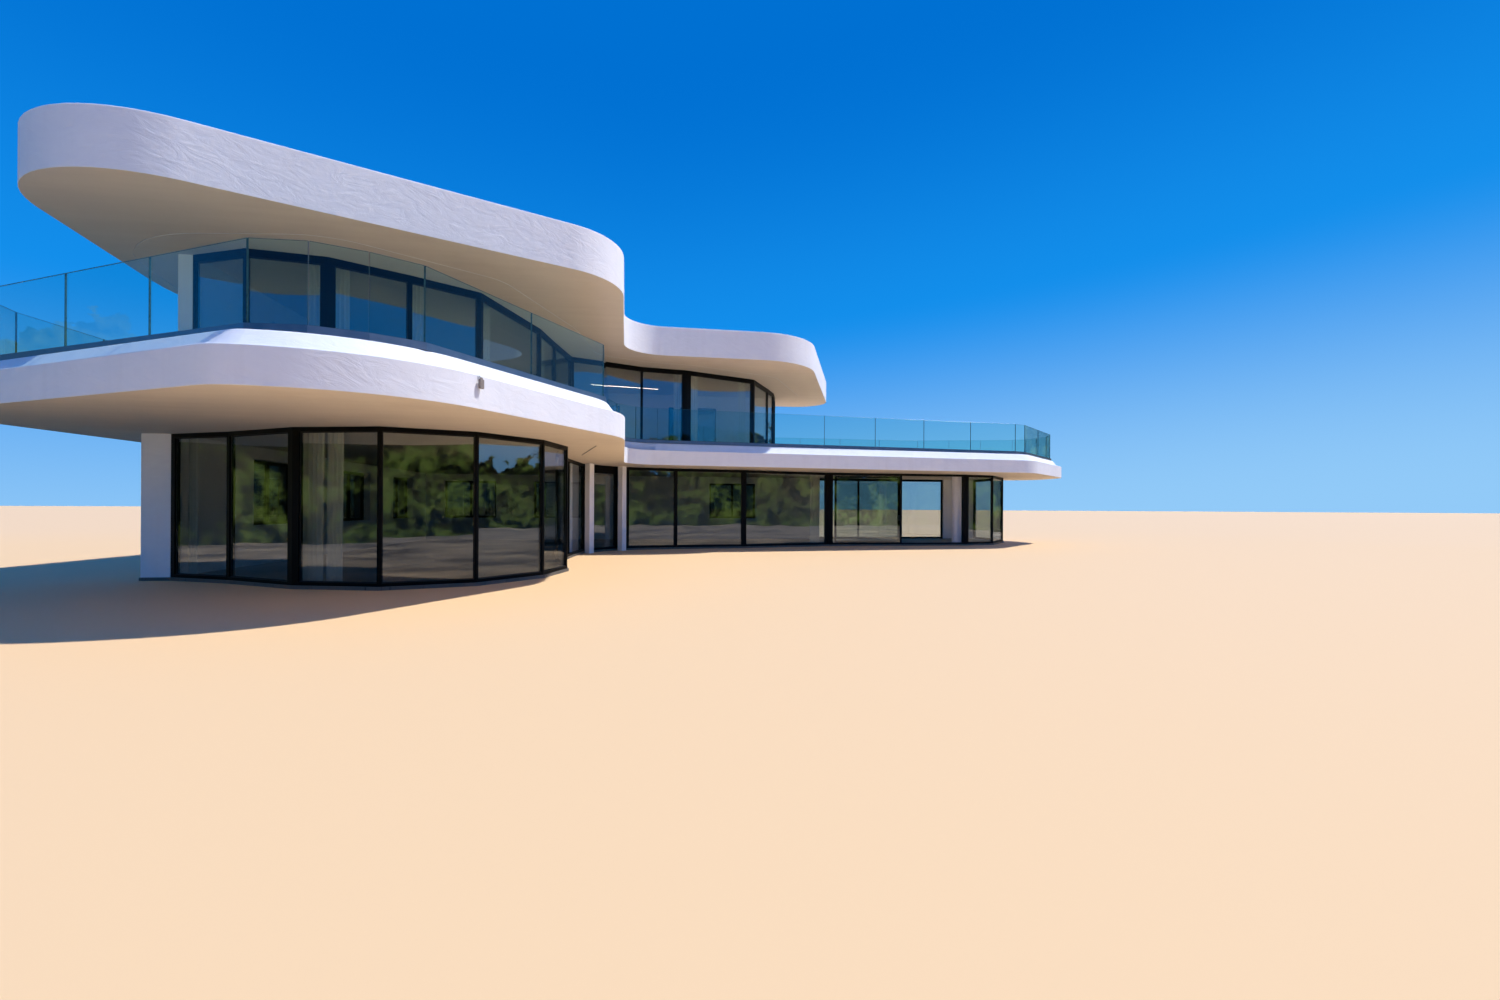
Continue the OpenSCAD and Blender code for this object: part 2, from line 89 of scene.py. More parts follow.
studio_floor = material("matt_studio_floor")
floor_shader = put(studio_floor, "BsdfPrincipled", {"Base Color": linear("E4BF8F"), "Roughness": 0.9})
put(studio_floor, "OutputMaterial", {"Surface": floor_shader})
bpy.ops.object.select_all(action="DESELECT")
bpy.ops.mesh.primitive_plane_add(size=3000, location=(0, 0, 0))
floor = bpy.context.object
floor.name = "studio_floor"
floor.data.materials.append(studio_floor)

key = bpy.data.lights.new("key", "SUN")
key.energy = 4.3
key.angle = math.radians(1.5)
key_lamp = bpy.data.objects.new("key", key)
key_lamp.rotation_euler = (0, math.radians(29), math.radians(11.5))
bpy.context.scene.collection.objects.link(key_lamp)

dome = bpy.data.worlds.new("dome")
bpy.context.scene.world = dome
dome.use_nodes = True
dome.node_tree.nodes.clear()
towards = put(dome, "TexCoord")
height = put(dome, "SeparateXYZ", {"Vector": towards.outputs["Generated"]})
rise = put(dome, "MapRange", {"Value": height.outputs["Z"], "From Min": 0.0, "From Max": 0.55})
shade = put(dome, "Mix", {0: rise, 6: linear("3F92E6"), 7: linear("2A72CC")}, data_type="RGBA")
glow = put(dome, "Background", {"Color": shade.outputs[2], "Strength": 1.0})
put(dome, "OutputWorld", {"Surface": glow})

# The backdrop behind the house and in its glass: a blue shell, pale at the floor and deep above. It is
# deeper to the front, which only the glass shows, and to the left, away from the sun.
backdrop_blue = material("blue_backdrop")
place = put(backdrop_blue, "TexCoord").outputs["Object"]
aim = put(backdrop_blue, "VectorMath", {0: place}, operation="NORMALIZE")
height = put(backdrop_blue, "SeparateXYZ", {"Vector": aim})
front = put(backdrop_blue, "MapRange", {
    "Value": height.outputs["Y"], "From Min": 0.0, "From Max": -1.0, "To Max": 0.14})
left = put(backdrop_blue, "MapRange", {
    "Value": height.outputs["X"], "From Min": 0.9, "From Max": 0.0, "To Min": -0.02, "To Max": 0.08})
deeper = put(backdrop_blue, "Math", {0: front, 1: left}, operation="ADD")
lifted = put(backdrop_blue, "Math", {0: height.outputs["Z"], 1: deeper}, operation="ADD")
rise = put(backdrop_blue, "MapRange", {"Value": lifted, "From Min": 0.0, "From Max": 0.34},
           interpolation_type="SMOOTHSTEP")
deep = put(backdrop_blue, "MapRange", {"Value": lifted, "From Min": 0.24, "From Max": 0.65},
           interpolation_type="SMOOTHSTEP")
clear_blue = put(backdrop_blue, "Mix", {0: rise, 6: linear("92CAF8"), 7: linear("1592EE")}, data_type="RGBA")
blues = put(backdrop_blue, "Mix", {0: deep, 6: clear_blue.outputs[2], 7: linear("0070D2")}, data_type="RGBA")
shine = put(backdrop_blue, "Emission", {"Color": blues.outputs[2], "Strength": 1.0})
put(backdrop_blue, "OutputMaterial", {"Surface": shine})
bpy.ops.object.select_all(action="DESELECT")
bpy.ops.mesh.primitive_uv_sphere_add(segments=96, ring_count=48, radius=850, location=(0, 0, 0))
backdrop = bpy.context.object
backdrop.name = "blue_backdrop"
backdrop.data.materials.append(backdrop_blue)
backdrop.visible_diffuse = backdrop.visible_shadow = False

# A dark green screen stands in a wide ring round the house, on a pale brown disc. Only mirrors
# see them: they give the glazing something to reflect below the sky, with a ragged top.
card_radius = 27
card_height = 16
card_green = material("dark_green_card")
place = put(card_green, "TexCoord").outputs["Object"]
up = put(card_green, "SeparateXYZ", {"Vector": place})
broad = put(card_green, "TexNoise", {"Vector": place, "Scale": 0.15, "Detail": 9.0, "Roughness": 0.62})
ragged = put(card_green, "Math", {0: broad, 1: 17.0, 2: -3.0}, operation="MULTIPLY_ADD")
below = put(card_green, "Math", {0: up.outputs["Z"], 1: ragged}, operation="LESS_THAN")
fine = put(card_green, "TexNoise", {"Vector": place, "Scale": 2.6, "Detail": 6.0, "Roughness": 0.7})
coarse = put(card_green, "TexNoise", {"Vector": place, "Scale": 0.5, "Detail": 2.0, "Distortion": 1.0})
massed = put(card_green, "Math", {0: fine, 1: coarse}, operation="ADD")
tone = put(card_green, "MapRange", {"Value": massed, "From Min": 0.96, "From Max": 1.22})
greens = put(card_green, "Mix", {0: tone, 6: linear("040602"), 7: linear("7E9140")}, data_type="RGBA")
even = put(card_green, "Emission", {"Color": greens.outputs[2], "Strength": 1.0})
open_air = put(card_green, "BsdfTransparent")
screen = put(card_green, "MixShader", {0: below, 1: open_air, 2: even})
put(card_green, "OutputMaterial", {"Surface": screen})
bpy.ops.mesh.primitive_cylinder_add(vertices=96, radius=card_radius, depth=card_height,
                                    end_fill_type="NOTHING", location=(0, 0, card_height / 2))
card = bpy.context.object
card.name = "mirror_card"
bpy.ops.object.transform_apply(location=True, rotation=True, scale=True)
card.data.materials.append(card_green)
card.visible_camera = card.visible_diffuse = card.visible_shadow = card.visible_transmission = False

# What lies on the floor is clear from below, so that it takes no light from the floor itself.
brown = material("matt_brown_card")
place = put(brown, "TexCoord").outputs["Object"]
blotches = put(brown, "TexNoise", {"Vector": place, "Scale": 0.35, "Detail": 6.0, "Roughness": 0.6})
spread = put(brown, "MapRange", {"Value": blotches, "From Min": 0.38, "From Max": 0.62})
browns = put(brown, "Mix", {0: spread, 6: linear("5C4C3A"), 7: linear("BA9A72")}, data_type="RGBA")
brown_shader = put(brown, "BsdfPrincipled", {"Base Color": browns.outputs[2], "Roughness": 0.9})
sides = put(brown, "NewGeometry")
nothing = put(brown, "BsdfTransparent")
one_sided = put(brown, "MixShader", {0: sides.outputs["Backfacing"], 1: brown_shader, 2: nothing})
put(brown, "OutputMaterial", {"Surface": one_sided})
bpy.ops.object.select_all(action="DESELECT")
bpy.ops.mesh.primitive_circle_add(vertices=96, radius=card_radius, fill_type="NGON", location=(0, 0, 0.004))
disc = bpy.context.object
disc.name = "earth_card"
bpy.ops.object.transform_apply(location=True, rotation=True, scale=True)
disc.data.materials.append(brown)
disc.visible_camera = disc.visible_diffuse = disc.visible_shadow = disc.visible_transmission = False

# Two dark flags, one on the floor to the left and one upright beyond it, unseen by the camera and
# by mirrors. They take away the floor's warm light from the left ends, which lie in cool shade.
flag_green = material("matt_dark_flag")
place = put(flag_green, "TexCoord").outputs["Object"]
patchy = put(flag_green, "TexNoise", {"Vector": place, "Scale": 0.5, "Detail": 4.0})
flag_tone = put(flag_green, "Mix", {0: patchy, 6: linear("56625E"), 7: linear("74827C")}, data_type="RGBA")
flag_shader = put(flag_green, "BsdfPrincipled", {"Base Color": flag_tone.outputs[2], "Roughness": 0.95})
sides = put(flag_green, "NewGeometry")
nothing = put(flag_green, "BsdfTransparent")
one_sided = put(flag_green, "MixShader", {0: sides.outputs["Backfacing"], 1: flag_shader, 2: nothing})
put(flag_green, "OutputMaterial", {"Surface": one_sided})
for name, middle, turn, size in (("floor_flag", (-24.5, -10, 0.006), 0, (23, 48, 1)),
                                 ("upright_flag", (-36, -10, 8), 90, (16, 48, 1))):
    bpy.ops.object.select_all(action="DESELECT")
    bpy.ops.mesh.primitive_plane_add(size=1, location=middle, rotation=(0, math.radians(turn), 0))
    flag = bpy.context.object
    flag.name = name
    flag.scale = size
    bpy.ops.object.transform_apply(location=True, rotation=True, scale=True)
    flag.data.materials.append(flag_green)
    flag.visible_camera = flag.visible_glossy = flag.visible_shadow = flag.visible_transmission = False


# Ground slab.
# Reinforced concrete slab on the ground with square porcelain tiles laid on it,
# 600 mm a side with a pale grout joint.
def dress(finish, *names):
    """Gives CAD nodes their finish."""
    for name in names:
        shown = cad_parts[name].data.materials
        shown.clear()
        shown.append(finish)


# Porcelain, pressed and fired: a faint cloudiness from tile to tile and a soft sheen.
# The 3 mm joint is drawn 8 mm wide so that it shows.
porcelain = material("porcelain_tile")
place = put(porcelain, "TexCoord").outputs["Object"]
tiles = put(porcelain, "TexBrick", {
    "Vector": place, "Color1": linear("6E6A64"), "Color2": linear("65615B"),
    "Mortar": linear("4A4743"), "Scale": 1.0, "Mortar Size": 0.004, "Mortar Smooth": 0.2,
    "Brick Width": 0.6, "Row Height": 0.6}, offset=0.0)
cloud = put(porcelain, "TexNoise", {"Vector": place, "Scale": 5.0, "Detail": 4.0})
cloudy = put(porcelain, "MapRange", {"Value": cloud, "To Min": 0.82, "To Max": 1.1})
toned = put(porcelain, "VectorMath", {0: tiles.outputs["Color"], "Scale": cloudy}, operation="SCALE")
sheen = put(porcelain, "MapRange", {"Value": cloud, "To Min": 0.3, "To Max": 0.5})
joints = put(porcelain, "Bump", {"Height": tiles.outputs["Fac"], "Strength": 0.6, "Distance": 0.002},
             invert=True)
tile_shader = put(porcelain, "BsdfPrincipled", {
    "Base Color": toned, "Roughness": sheen, "Normal": joints, "IOR": 1.5})
put(porcelain, "OutputMaterial", {"Surface": tile_shader})
dress(porcelain, "ground_slab")


# Walls and columns.
# Blockwork walls and cast columns, plastered outside and painted white.
# Their upright corners are run slightly round by the plasterer.
def stop_editing():
    """Back to object mode, if a piece is still in edit mode."""
    if bpy.context.mode != "OBJECT":
        bpy.ops.object.mode_set(mode="OBJECT")


def merged_copy(name, node):
    """A new object from a copy of a CAD node, with its loose triangles merged into clean faces."""
    stop_editing()
    bpy.ops.object.select_all(action="DESELECT")
    piece = bpy.data.objects.new(name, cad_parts[node].data.copy())
    bpy.context.scene.collection.objects.link(piece)
    piece.select_set(True)
    bpy.context.view_layer.objects.active = piece
    piece.data.materials.clear()
    bpy.ops.object.mode_set(mode="EDIT")
    bpy.ops.mesh.select_all(action="SELECT")
    bpy.ops.mesh.remove_doubles(threshold=0.0002)
    bpy.ops.mesh.dissolve_limited(angle_limit=math.radians(0.4))
    bpy.ops.object.mode_set(mode="OBJECT")
    return piece


def pick(piece, kind, test):
    """Selects the faces ("polygons") or edges of a piece that pass a test, and enters edit mode."""
    stop_editing()
    bpy.context.view_layer.objects.active = piece
    bpy.context.tool_settings.mesh_select_mode = (False, kind == "edges", kind == "polygons")
    for parts in (piece.data.vertices, piece.data.edges, piece.data.polygons):
        parts.foreach_set("select", [False] * len(parts))
    for part in getattr(piece.data, kind):
        part.select = bool(test(part))
    bpy.ops.object.mode_set(mode="EDIT")


def pick_arris(piece, test):
    """Selects the sharp edges of a piece whose two ends pass a test, and enters edit mode."""
    stop_editing()
    bpy.context.view_layer.objects.active = piece
    bpy.context.tool_settings.mesh_select_mode = (False, True, False)
    bpy.ops.object.mode_set(mode="EDIT")
    bpy.ops.mesh.select_all(action="DESELECT")
    bpy.ops.mesh.edges_select_sharp(sharpness=math.radians(30))
    bpy.ops.object.mode_set(mode="OBJECT")
    sharp = {edge.index for edge in piece.data.edges if edge.select}
    ends = piece.data.vertices
    pick(piece, "edges", lambda e: e.index in sharp and test(ends[e.vertices[0]].co, ends[e.vertices[1]].co))


def smooth(piece):
    """Lets rounded edges shade smoothly while the large faces stay flat."""
    stop_editing()
    bpy.ops.object.select_all(action="DESELECT")
    piece.select_set(True)
    bpy.context.view_layer.objects.active = piece
    bpy.ops.object.shade_smooth_by_angle(angle=math.radians(32))
    weigh = piece.modifiers.new("weigh", "WEIGHTED_NORMAL")
    weigh.keep_sharp = True
    bpy.ops.object.modifier_apply(modifier="weigh")


# White mineral render, trowelled by hand and painted: broad uneven sweeps of the trowel that the grazing key
# brings out, their hollows also painted a little greyer as painted shade, a fine sandy grain, and a little
# grey run-off. The 1 mm grain is drawn at 12 mm.
render = material("trowelled_render_painted_white")
place = put(render, "TexCoord").outputs["Object"]
sweeps = []
for slope in ((0.1, 0.4, 0.0), (-0.1, -0.22, 0.0)):
    sloping = put(render, "Mapping", {"Vector": place, "Rotation": slope, "Scale": (1.0, 1.0, 0.38)},
                  vector_type="TEXTURE")
    sweeps.append(put(render, "TexNoise", {
        "Vector": sloping, "Scale": 2.6, "Detail": 5.0, "Roughness": 0.58, "Distortion": 0.9}))
patch = put(render, "TexNoise", {"Vector": place, "Scale": 0.9, "Detail": 3.0})
turn = put(render, "MapRange", {"Value": patch, "From Min": 0.42, "From Max": 0.58})
sweep = put(render, "Mix", {0: turn, 2: sweeps[0], 3: sweeps[1]}, data_type="FLOAT")
grain = put(render, "TexNoise", {"Vector": place, "Scale": 80.0, "Detail": 2.0})
runs = put(render, "Mapping", {"Vector": place, "Scale": (5.0, 5.0, 0.5)})
streak = put(render, "TexNoise", {"Vector": runs, "Scale": 1.0, "Detail": 3.0})
aged = put(render, "MapRange", {"Value": streak, "From Min": 0.5, "From Max": 0.85, "To Max": 0.14})
fresh = put(render, "Mix", {0: patch, 6: linear("EEEEF1"), 7: linear("FAFAFA")}, data_type="RGBA")
# The hollows of the trowel sweeps are painted a little greyer than their crests: painted shade.
sweep_shaded_tone = put(render, "Mix", {0: sweep, 6: linear("E9E9ED"), 7: fresh.outputs[2]}, data_type="RGBA")
weathered = put(render, "Mix", {0: aged, 6: sweep_shaded_tone.outputs[2], 7: linear("C9C6C0")}, data_type="RGBA")
dull = put(render, "MapRange", {"Value": sweep, "To Min": 0.62, "To Max": 0.85})
trowel = put(render, "Bump", {"Height": sweep, "Strength": 0.7, "Distance": 0.014})
sandy = put(render, "Bump", {"Height": grain, "Strength": 0.25, "Distance": 0.0015, "Normal": trowel})
render_shader = put(render, "BsdfPrincipled", {
    "Base Color": weathered.outputs[2], "Roughness": dull, "Normal": sandy, "IOR": 1.45})
put(render, "OutputMaterial", {"Surface": render_shader})

corner_round = 0.012
shortest_corner = 0.5
for name in ("left_wall_ground", "rear_wall_ground", "rear_end_wall_ground", "square_columns",
             "left_wall_upper", "rear_wall_upper"):
    wall = merged_copy(name + "_plastered", name)
    pick_arris(wall, lambda a, b: abs(a.z - b.z) > shortest_corner)
    bpy.ops.mesh.bevel(offset=corner_round, segments=3, affect="EDGES")
    wall.data.materials.append(render)
    smooth(wall)
    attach(wall, "house")
    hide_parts(name)

column = merged_copy("round_column_plastered", "round_column")
column.data.materials.append(render)
smooth(column)
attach(column, "house")
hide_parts("round_column")


# Window frames.
# Thermally broken aluminium profiles, mitred at the corners and screwed together,
# powder coated black.

# Powder coating, fine textured: a very small orange peel, with dust settled on it that dulls it unevenly.
# The 0.5 mm peel is drawn at 6 mm.
powder = material("powder_coated_aluminium_black")
place = put(powder, "TexCoord").outputs["Object"]
peel = put(powder, "TexNoise", {"Vector": place, "Scale": 160.0, "Detail": 2.0})
dust = put(powder, "TexNoise", {"Vector": place, "Scale": 3.0, "Detail": 6.0, "Roughness": 0.65})
dusty = put(powder, "MapRange", {"Value": dust, "From Min": 0.45, "From Max": 0.8, "To Max": 0.1})
black = put(powder, "Mix", {0: dusty, 6: linear("020203"), 7: linear("2A2826")}, data_type="RGBA")
dulled = put(powder, "MapRange", {"Value": dust, "To Min": 0.35, "To Max": 0.6})
peeled = put(powder, "Bump", {"Height": peel, "Strength": 0.2, "Distance": 0.0006})
powder_shader = put(powder, "BsdfPrincipled", {
    "Base Color": black.outputs[2], "Roughness": dulled, "Normal": peeled, "IOR": 1.5,
    "Specular IOR Level": 0.18})
put(powder, "OutputMaterial", {"Surface": powder_shader})
dress(powder, "lobe_frame_ground", "corner_frame_ground", "wing_frame_ground", "sliding_door_frame",
      "sliding_leaf_frame", "wing_end_frame_ground", "rear_frame_ground", "window_frames_ground",
      "lobe_frame_upper", "wing_frame_upper", "window_frames_upper")


# Window glass.
# Sealed double units with a solar control coating, set dry in the frames
# on packers.

# Float glass: mirrors strongly at a glance, shows the dark room when looked at squarely, and its
# reflections waver because tempered sheets are never quite flat. Rain marks dull it a little.
glazing = material("solar_control_double_glazing")
place = put(glazing, "TexCoord").outputs["Object"]
waver = put(glazing, "TexNoise", {"Vector": place, "Scale": 0.9, "Detail": 1.0})
wavy = put(glazing, "Bump", {"Height": waver, "Strength": 0.12, "Distance": 0.02})
marks = put(glazing, "TexNoise", {"Vector": place, "Scale": 26.0, "Detail": 4.0})
marked = put(glazing, "MapRange", {
    "Value": marks, "From Min": 0.55, "From Max": 0.8, "To Min": 0.003, "To Max": 0.03})
slant = put(glazing, "LayerWeight", {"Blend": 0.5, "Normal": wavy})
steep = put(glazing, "Math", {0: slant.outputs["Facing"], 1: 5.0}, operation="POWER")
mirror = put(glazing, "MapRange", {"Value": steep, "To Min": 0.16, "To Max": 1.0})
through = put(glazing, "BsdfTransparent", {"Color": linear("E8ECEA")})
shine = put(glazing, "BsdfGlossy", {"Color": linear("E6EEF6"), "Roughness": marked, "Normal": wavy})
pane = put(glazing, "MixShader", {0: mirror, 1: through, 2: shine})
put(glazing, "OutputMaterial", {"Surface": pane})
body_of_glass = {
    "lobe_glass_ground": "house", "corner_glass_ground": "house", "wing_glass_ground": "house",
    "sliding_door_fixed_glass": "house", "sliding_leaf_glass": "sliding_leaf",
    "wing_end_glass_ground": "house", "rear_glass_ground": "house", "window_glass_ground": "house",
    "lobe_glass_upper": "house", "wing_glass_upper": "house", "window_glass_upper": "house"}
dress(glazing, *body_of_glass)

# The plain windows have body tinted grey glass: the same sheet, but little light comes through.
tinted = glazing.copy()
tinted.name = "grey_tinted_double_glazing"
tinted.node_tree.nodes["Transparent BSDF"].inputs["Color"].default_value = linear("6E7472")
dress(tinted, "window_glass_ground", "window_glass_upper")


# Glazing gaskets.
# Extruded EPDM rubber strips pressed in between frame and glass, on both faces
# of every sheet.

# EPDM rubber: deep matt black with a trace of chalky bloom.
rubber = material("epdm_rubber")
place = put(rubber, "TexCoord").outputs["Object"]
bloom = put(rubber, "TexNoise", {"Vector": place, "Scale": 40.0, "Detail": 3.0})
chalky = put(rubber, "Mix", {0: bloom, 6: linear("0C0C0D"), 7: linear("2A2A2A")}, data_type="RGBA")
soft = put(rubber, "MapRange", {"Value": bloom, "To Min": 0.7, "To Max": 0.9})
rubber_shader = put(rubber, "BsdfPrincipled", {
    "Base Color": chalky.outputs[2], "Roughness": soft, "IOR": 1.52})
put(rubber, "OutputMaterial", {"Surface": rubber_shader})

gasket_width = 0.014
gasket_proud = 0.005
smallest_sheet = 0.3


def gaskets(name, sheets):
    """A rubber frame on both faces of every sheet of a glass node."""
    piece = merged_copy(name, sheets)
    pick(piece, "polygons", lambda f: f.area < smallest_sheet)
    bpy.ops.mesh.delete(type="FACE")
    bpy.ops.mesh.select_all(action="SELECT")
    bpy.ops.mesh.inset(thickness=gasket_width, use_individual=True)
    bpy.ops.mesh.delete(type="FACE")
    bpy.ops.object.mode_set(mode="OBJECT")
    strip = piece.modifiers.new("strip", "SOLIDIFY")
    strip.thickness = gasket_proud
    strip.offset = 1
    bpy.ops.object.modifier_apply(modifier="strip")
    piece.data.materials.append(rubber)
    return piece


for sheets, body in body_of_glass.items():
    seal = gaskets(sheets.replace("glass", "gaskets"), sheets)
    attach(seal, body)


# Sliding door fittings.
# Stainless running rails screwed to the sill, a pull handle inside the leaf's leading stile,
# and a shallow finger plate outside so that the leaf can slide past the fixed sheet.

# Stainless steel, brushed along its length: fine lines that stretch the highlight. The 0.1 mm
# brush lines are drawn at 3 mm.
steel = material("brushed_stainless_steel")
place = put(steel, "TexCoord").outputs["Object"]
drawn = put(steel, "Mapping", {"Vector": place, "Scale": (2.0, 300.0, 300.0)})
brush = put(steel, "TexNoise", {"Vector": drawn, "Scale": 1.0, "Detail": 3.0})
toned = put(steel, "Mix", {0: brush, 6: linear("8E9092"), 7: linear("C4C6C8")}, data_type="RGBA")
lined = put(steel, "MapRange", {"Value": brush, "To Min": 0.22, "To Max": 0.42})
steel_shader = put(steel, "BsdfPrincipled", {
    "Base Color": toned.outputs[2], "Metallic": 1.0, "Roughness": lined})
put(steel, "OutputMaterial", {"Surface": steel_shader})


def block(name, size, middle, bevel):
    """A bar of the given size with its edges eased, centred on a point."""
    bpy.ops.object.select_all(action="DESELECT")
    bpy.ops.mesh.primitive_cube_add(size=1, location=middle)
    made = bpy.context.object
    made.name = name
    made.scale = size
    bpy.ops.object.transform_apply(location=True, rotation=True, scale=True)
    bpy.ops.object.mode_set(mode="EDIT")
    bpy.ops.mesh.select_all(action="SELECT")
    bpy.ops.mesh.bevel(offset=bevel, segments=2, affect="EDGES")
    bpy.ops.object.mode_set(mode="OBJECT")
    return made


def joined(name, parts):
    """Several parts as one piece."""
    bpy.ops.object.select_all(action="DESELECT")
    for part in parts:
        part.select_set(True)
    bpy.context.view_layer.objects.active = parts[0]
    bpy.ops.object.join()
    parts[0].name = name
    return parts[0]


def set_in_place(piece, spot, turn):
    """Turns a piece made at the origin, sets it on its spot and keeps its place in its mesh."""
    piece.rotation_euler = (0, 0, turn)
    piece.location = spot
    bpy.ops.object.transform_apply(location=True, rotation=True, scale=True)
    return piece


sill_top = 0.12
track_left, track_right = 3.475, 8.685
outer_track, inner_track = 4.985, 5.065
rail_height = 0.003
rails = joined("door_running_rails", [
    block("rail", (track_right - track_left, 0.012, rail_height),
          ((track_left + track_right) / 2, y, sill_top + rail_height / 2), 0.0008)
    for y in (outer_track, inner_track)])
rails.data.materials.append(steel)
smooth(rails)
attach(rails, "house")

stile_x = 6.11
leaf_inside, leaf_outside = 5.093, 5.037
handle_z = 1.06
stand_reach = 0.15
plate_width, plate_sheet, plate_rim = 0.034, 0.004, 0.005
broad_face = 0.001
grip = block("pull", (0.022, 0.012, 0.36), (stile_x, leaf_inside + 0.044, handle_z), 0.004)
stands = [block("stand", (0.018, 0.04, 0.018), (stile_x, leaf_inside + 0.019, handle_z + lift), 0.003)
          for lift in (-stand_reach, stand_reach)]
rose = block("rose", (plate_width, plate_sheet, 0.40), (stile_x, leaf_inside + plate_sheet / 2, handle_z),
             0.0015)
cylinder_lock = block("lock", (0.018, 0.008, 0.034), (stile_x, leaf_inside + 0.005, handle_z - 0.09), 0.003)
pull = joined("leaf_pull_handle", [grip, *stands, rose, cylinder_lock])
pull.data.materials.append(steel)
smooth(pull)
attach(pull, "sliding_leaf")

finger_plate = block("leaf_finger_plate", (plate_width, plate_sheet, 0.22),
                     (stile_x, leaf_outside - plate_sheet / 2, handle_z), 0.0015)
pick(finger_plate, "polygons", lambda f: f.normal.y < -0.9 and f.area > broad_face)
bpy.ops.mesh.inset(thickness=plate_rim)
bpy.ops.transform.translate(value=(0, plate_sheet / 2, 0))
finger_plate.data.materials.append(steel)
smooth(finger_plate)
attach(finger_plate, "sliding_leaf")


# Window sills.
# Folded aluminium sills under the plain windows, pushed into the render with a nose that
# throws the water clear. Powder coated like the frames.
sill_length = 2.0
sill_sheet = 0.004
nose_drop, nose_middle = 0.0345, -0.0158
cap_height, cap_middle = 0.0195, 0.00825
ground_sill_z, upper_sill_z = 0.964, 4.109


def sill(middle, reach, turn):
    """One sill at the origin, then turned and set in place: a plate, its nose and two end caps."""
    plate = block("sill", (sill_length, reach, sill_sheet), (0, 0, 0), 0.001)
    nose = block("nose", (sill_length - 0.001, sill_sheet, nose_drop), (0, -reach / 2 + 0.0025, nose_middle),
                 0.001)
    caps = [block("cap", (0.012, reach - 0.001, cap_height),
                  (side * (sill_length / 2 - 0.0065), 0, cap_middle), 0.002) for side in (-1, 1)]
    return set_in_place(joined("sill", [plate, nose, *caps]), middle, turn)


facing_left = math.radians(-90)
facing_rear = math.radians(180)
ledges = [sill((-12.6275, y, ground_sill_z), 0.235, facing_left) for y in (-1.5, 3.0, 7.0)]
ledges += [sill((x, 9.7925, ground_sill_z), 0.125, facing_rear) for x in (-10.5, -7.0, 0.3)]
ledges += [sill((-12.08, y, upper_sill_z), 0.11, facing_left) for y in (-1.5, 3.0)]
ledges += [sill((x, 9.0925, upper_sill_z), 0.125, facing_rear) for x in (-9.5, -5.5, -1.5)]
window_sills = joined("window_sills", ledges)
window_sills.data.materials.append(powder)
smooth(window_sills)
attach(window_sills, "house")


# Curtains and their rails.
# Lined cream curtains on gliders in slim aluminium rails screwed to the ceiling, drawn back
# against the posts.

# Linen weave, soft and slightly uneven; it catches light at the edge of each fold. The 1 mm thread
# is drawn at 7 mm, with slubs some 40 mm long.
linen = material("woven_linen_cream")
cut = put(linen, "UVMap")
warp, weft = (put(linen, "TexWave", {"Vector": cut, "Scale": 45.0, "Distortion": 1.0},
                  bands_direction=way) for way in "XY")
weave = put(linen, "Math", {0: warp.outputs["Fac"], 1: weft.outputs["Fac"]}, operation="ADD")
slubs = put(linen, "Mapping", {"Vector": cut, "Scale": (110.0, 25.0, 1.0)})
slub = put(linen, "TexNoise", {"Vector": slubs, "Scale": 1.0, "Detail": 3.0})
spun = put(linen, "Mix", {0: slub, 6: linear("DFD8C8"), 7: linear("F6F1E6")}, data_type="RGBA")
threads = put(linen, "Bump", {"Height": weave, "Strength": 0.25, "Distance": 0.0015})
worn = put(linen, "MapRange", {"Value": slub, "To Min": 0.8, "To Max": 0.95})
linen_shader = put(linen, "BsdfPrincipled", {
    "Base Color": spun.outputs[2], "Roughness": worn, "Normal": threads, "IOR": 1.5,
    "Sheen Weight": 0.25, "Sheen Roughness": 0.5})
put(linen, "OutputMaterial", {"Surface": linen_shader})

# Anodised aluminium, satin: a pale even grey with fine die lines along the length. The 0.2 mm
# lines are drawn at 6 mm.
anodised = material("satin_anodised_aluminium")
place = put(anodised, "TexCoord").outputs["Object"]
die = put(anodised, "Mapping", {"Vector": place, "Scale": (1.0, 1.0, 160.0)})
lines = put(anodised, "TexNoise", {"Vector": die, "Scale": 1.0, "Detail": 2.0})
spots = put(anodised, "TexNoise", {"Vector": place, "Scale": 7.0, "Detail": 5.0})
cast = put(anodised, "Mix", {0: spots, 6: linear("7E828A"), 7: linear("9DA1AA")}, data_type="RGBA")
satin = put(anodised, "MapRange", {"Value": spots, "To Min": 0.34, "To Max": 0.52})
grooved = put(anodised, "Bump", {"Height": lines, "Strength": 0.2, "Distance": 0.001})
anodised_shader = put(anodised, "BsdfPrincipled", {
    "Base Color": cast.outputs[2], "Metallic": 1.0, "Roughness": satin, "Normal": grooved})
put(anodised, "OutputMaterial", {"Surface": anodised_shader})

ground_floor, ground_ceiling = 0.06, 2.74
upper_floor, upper_ceiling = 3.205, 6.10
curtain_set = 0.26
fold_width, fold_depth = 0.078, 0.036
fold_columns, drop_rows = 12, 28
cloth_thickness = 0.0014
rail_width, rail_depth, rail_spare = 0.022, 0.016, 0.03
hem_clear, heading_drop = 0.012, 0.017
heading_pinch, second_wave = 0.62, 0.16
stray_along, stray_inward = 0.008, 0.004
